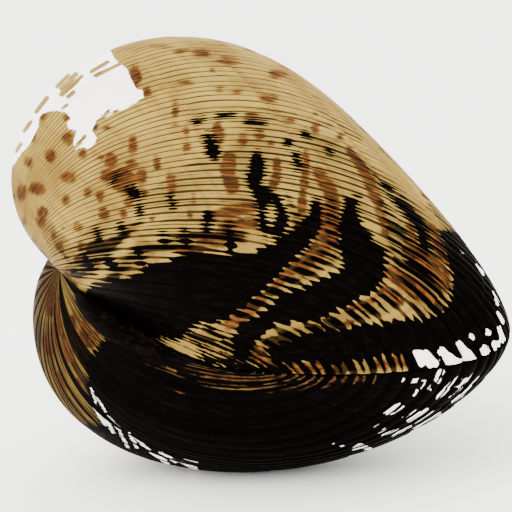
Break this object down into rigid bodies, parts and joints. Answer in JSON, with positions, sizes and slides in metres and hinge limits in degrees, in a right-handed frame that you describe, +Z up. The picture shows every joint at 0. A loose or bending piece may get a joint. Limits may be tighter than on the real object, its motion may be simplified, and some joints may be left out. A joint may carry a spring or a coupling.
{
  "type": "cockle shell",
  "caption": "Closed heart-shaped cockle shell with fine radial ribs and a short hinge ligament, lying on its lower valve.",
  "frame": {"origin": "Middle of the shell's plan box, on the surface that it lies on.", "axes": "+Z up; +X runs roughly along the hinge towards the back end of the shell, +Y towards the free margin."},
  "size_m": [0.0636, 0.05, 0.0559],
  "materials": {
    "upper_shell": "satin",
    "lower_shell": "satin",
    "horn": "satin"
  },
  "bodies": {
    "root": {"upper_valve": "upper_shell", "lower_valve": "lower_shell", "ligament": "horn"}
  },
  "joints": []
}
